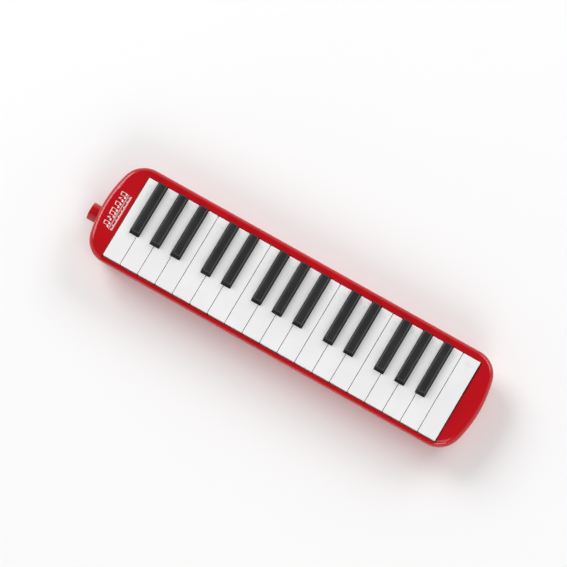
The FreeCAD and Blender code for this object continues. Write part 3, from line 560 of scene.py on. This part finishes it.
# ---- hand strap ----
def strap_outline(low, high, inset):
    """Points round the strap, inset from its edge: a long side, an end with its corners, and again."""
    radius = max(STRAP_CORNER - inset, LEAST_CORNER)
    left, right = low.x + inset, high.x - inset
    front, back = low.y + inset, high.y - inset
    deep = back - front - 2 * radius
    straight = [left + radius + (right - left - 2 * radius) * i / LENGTH_STATIONS
                for i in range(LENGTH_STATIONS + 1)]
    rows = [deep * i / END_STATIONS for i in range(END_STATIONS + 1)]
    bends = [(radius * math.sin(a), radius * math.cos(a)) for a in CORNER_ANGLES]
    points = [(x, front) for x in straight]
    points += [(right - radius + s, front + radius - c) for s, c in bends]
    points += [(right, front + radius + row) for row in rows]
    points += [(right - radius + c, back - radius + s) for s, c in bends]
    points += [(x, back) for x in reversed(straight)]
    points += [(left + radius - s, back - radius + c) for s, c in bends]
    points += [(left, back - radius - row) for row in rows]
    points += [(left + radius - c, front + radius - s) for s, c in bends]
    return points


def strap_drop(x, low, high):
    """How far the strap hangs down between its two screwed ends."""
    length = high.x - low.x
    free = (x - low.x - HELD_SHARE * length) / ((1 - 2 * HELD_SHARE) * length)
    return STRAP_SAG * math.sin(math.pi * min(max(free, 0.0), 1.0)) ** 2


def close_face(form, ring):
    """Fills a strap outline with strips across it and one face at each rounded end."""
    along = LENGTH_STATIONS + 1
    across = END_STATIONS + 1 + 2 * len(CORNER_ANGLES)
    front, back = ring[:along], ring[along + across:2 * along + across][::-1]
    for i in range(LENGTH_STATIONS):
        form.faces.new((front[i], front[i + 1], back[i + 1], back[i]))
    form.faces.new(ring[along - 1:along + across + 1])
    form.faces.new(ring[2 * along + across - 1:] + [ring[0]])


def hand_strap(finish, thread):
    low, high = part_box("hand_strap")
    half = (high.z - low.z) / 2
    middle = (high.z + low.z) / 2
    form = bmesh.new()
    edges = []
    for sign in (1, -1):
        rings = [[form.verts.new((x, y, middle + sign * half * share - strap_drop(x, low, high)))
                  for x, y in strap_outline(low, high, inset)] for inset, share in STRAP_PROFILE]
        for outer, inner in zip(rings, rings[1:]):
            wrap(form, outer, inner)
        close_face(form, rings[-1])
        edges.append(rings[0])
    wrap(form, *edges)
    strap = add_piece("strap_body", form, finish, "case", STRAP_SMOOTH)
    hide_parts("hand_strap")

    seam = bmesh.new()
    span = high.x - low.x - 2 * (SEAM_INSET + STRAP_CORNER)
    stitches = int(span / STITCH_PITCH)
    start = (low.x + high.x) / 2 - stitches * STITCH_PITCH / 2
    trough = half * SEAM_LEVEL
    for side_y in (low.y + SEAM_INSET, high.y - SEAM_INSET):
        for sign in (1, -1):
            for i in range(stitches):
                rings = []
                for share, size in STITCH_PROFILE:
                    x = start + i * STITCH_PITCH + share * STITCH_LENGTH
                    arch = THREAD_ARCH[0] + THREAD_ARCH[1] * share
                    dip = THREAD_DIP * (1 - math.sin(math.pi * arch))
                    z = middle + sign * (trough + THREAD_RISE - dip) - strap_drop(x, low, high)
                    rings.append([(x, side_y + size * THREAD_RADIUS * across, z + size * THREAD_RADIUS * rise)
                                  for across, rise in circle(THREAD_SIDES)])
                tube(seam, rings)
    add_piece("strap_stitching", seam, thread, "case")


# ---- springs ----
def leaf_ring(x, half, y, z, lean):
    """Section of a leaf: a flat bar with bevelled edges, square to its slope."""
    h, e = LEAF_THICKNESS / 2, LEAF_BEVEL
    corners = ((half - e, h), (half, h - e), (half, e - h), (half - e, -h),
               (e - half, -h), (-half, e - h), (-half, h - e), (e - half, h))
    return [(x + dx, y - dz * math.sin(lean), z + dz * math.cos(lean)) for dx, dz in corners]


def leaf_springs(finish):
    """One leaf for each key, clamped under the rail and sloping up towards the key's lever."""
    low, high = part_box("key_springs")
    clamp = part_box("spring_rail")[1].y
    levers = sorted(keys_of("white") + keys_of("black"),
                    key=lambda node: sum(corner.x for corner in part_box(node)))
    edges = sorted({round(v.co.x, 6) for v in frame["nodes"]["key_springs"].data.vertices})
    root_z = low.z + LEAF_THICKNESS / 2
    rise = high.z - LEAF_THICKNESS / 2 - root_z
    run = high.y - clamp
    slope = math.atan2(rise, run)
    for node, left, right in zip(levers, edges[::2], edges[1::2]):
        x, half = (left + right) / 2, (right - left) / 2
        rings = [leaf_ring(x, half, low.y, root_z, 0.0), leaf_ring(x, half, clamp, root_z, 0.0)]
        for i in range(1, LEAF_STATIONS + 1):
            share = i / LEAF_STATIONS
            width = half * (1 - (1 - LEAF_TIP_WIDTH) * share)
            rings.append(leaf_ring(x, width, clamp + share * run, root_z + share * rise, slope))
        form = bmesh.new()
        tube(form, rings)
        leaf = add_piece("leaf_spring_" + node.rsplit("_", 1)[1], form, finish, None)
        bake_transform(leaf)
        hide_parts("key_springs")


def drain_coil(finish):
    """Coil between the button's flange and the wind chamber."""
    low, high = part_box("drain_spring")
    middle = (low + high) / 2
    radius = (high.x - low.x) / 2 - COIL_WIRE
    base, top = low.z + COIL_WIRE, high.z - COIL_WIRE
    count = COIL_TURNS * COIL_STEPS
    rings = []
    for i in range(count + 1):
        turn = math.tau * i / COIL_STEPS
        out = Vector((math.cos(turn), math.sin(turn), 0.0))
        centre = Vector((middle.x, middle.y, base + (top - base) * i / count)) + out * radius
        rings.append([centre + out * COIL_WIRE * across + Vector((0.0, 0.0, COIL_WIRE * rise))
                      for across, rise in circle(WIRE_SIDES)])
    form = bmesh.new()
    tube(form, rings)
    coil = add_piece("drain_coil", form, finish, None)
    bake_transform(coil)
    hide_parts("drain_spring")


# ---- scene ----
def floor():
    form = bmesh.new()
    form.faces.new([form.verts.new((x * FLOOR_HALF, y * FLOOR_HALF, -FLOOR_DROP))
                    for x, y in ((-1, -1), (1, -1), (1, 1), (-1, 1))])
    mesh = bpy.data.meshes.new("floor")
    form.to_mesh(mesh)
    form.free()
    finish = Finish("floor_pale")
    colour = finish.tint(finish.noise(3.0, 2.0), rgb(0.90, 0.90, 0.90), rgb(0.92, 0.92, 0.92))
    mesh.materials.append(finish.surface({"Base Color": colour}, {"Roughness": 0.7}))
    ground = bpy.data.objects.new("floor", mesh)
    bpy.context.scene.collection.objects.link(ground)


def softbox(name, place, width, depth, power):
    light = bpy.data.lights.new(name, "AREA")
    light.shape = "RECTANGLE"
    light.size = width
    light.size_y = depth
    light.energy = power
    lamp = bpy.data.objects.new(name, light)
    bpy.context.scene.collection.objects.link(lamp)
    lamp.location = place
    lamp.rotation_euler = (-lamp.location).to_track_quat("-Z", "Y").to_euler()


def studio():
    world = bpy.data.worlds.new("studio")
    bpy.context.scene.world = world
    world.use_nodes = True
    tree = world.node_tree
    direction = tree.nodes.new("ShaderNodeTexCoord")
    split = tree.nodes.new("ShaderNodeSeparateXYZ")
    fade = tree.nodes.new("ShaderNodeMapRange")
    fade.interpolation_type = "SMOOTHSTEP"
    fade.inputs["From Min"].default_value, fade.inputs["From Max"].default_value = SKY_FADE
    fade.inputs["To Min"].default_value = SKY_AT_HORIZON
    fade.inputs["To Max"].default_value = SKY_OVERHEAD
    tree.links.new(direction.outputs["Generated"], split.inputs["Vector"])
    tree.links.new(split.outputs["Z"], fade.inputs["Value"])
    tree.links.new(fade.outputs["Result"], tree.nodes["Background"].inputs["Strength"])
    tree.nodes["Background"].inputs["Color"].default_value = rgb(1.0, 1.0, 1.0)
    for box in SOFTBOXES:
        softbox(*box)
    bpy.context.scene.view_settings.view_transform = "Standard"


def camera():
    azimuth, elevation = math.radians(VIEW_AZIMUTH), math.radians(VIEW_ELEVATION)
    level = math.cos(elevation)
    back = Vector((math.sin(azimuth) * level, -math.cos(azimuth) * level, math.sin(elevation)))
    right = Vector((math.cos(azimuth), math.sin(azimuth), 0.0))
    up = back.cross(right)
    turned = Matrix((right, up, back)).transposed().to_4x4()
    lens = bpy.data.cameras.new("camera")
    lens.sensor_fit = "HORIZONTAL"
    lens.angle = 2 * math.atan(VIEW_WIDTH / 2 / LENS_DISTANCE)
    lens.clip_end = VIEW_DEPTH
    view = bpy.data.objects.new("camera", lens)
    bpy.context.scene.collection.objects.link(view)
    view.matrix_world = Matrix.Translation(VIEW_POINT + back * LENS_DISTANCE) @ turned
    bpy.context.scene.camera = view


def main():
    finishes = {
        "red_case": moulded_red(),
        "white_keys": key_white(),
        "black_keys": key_black(),
        "grey_plastic": grained_plastic("grey_plastic_moulded",
                                        rgb(0.17, 0.175, 0.18), rgb(0.22, 0.225, 0.23)),
        "black_plastic": grained_plastic("black_plastic_moulded",
                                         rgb(0.012, 0.012, 0.013), rgb(0.02, 0.02, 0.021)),
        "soft_rubber": seal_rubber(),
        "reed_brass": rolled_brass(),
        "zinc_steel": plated_steel("zinc_plated_steel",
                                   rgb(0.42, 0.42, 0.43), rgb(0.62, 0.62, 0.64), 0.24),
        "polished_steel": plated_steel("bright_drawn_steel",
                                       rgb(0.55, 0.55, 0.56), rgb(0.74, 0.74, 0.76), 0.12),
        "red_felt": wool_felt(),
        "strap_leather": strap_leatherette(),
    }
    for part in frame["record"]["subparts"]:
        mesh = frame["nodes"][part["node"]].data
        mesh.materials.clear()
        mesh.materials.append(finishes[part["material_slot"]])
    note_labels(finishes["white_keys"])
    deck_motif(printed_ink())
    hand_strap(finishes["strap_leather"], spun_thread())
    leaf_springs(finishes["polished_steel"])
    drain_coil(finishes["polished_steel"])
    floor()
    studio()
    camera()


main()
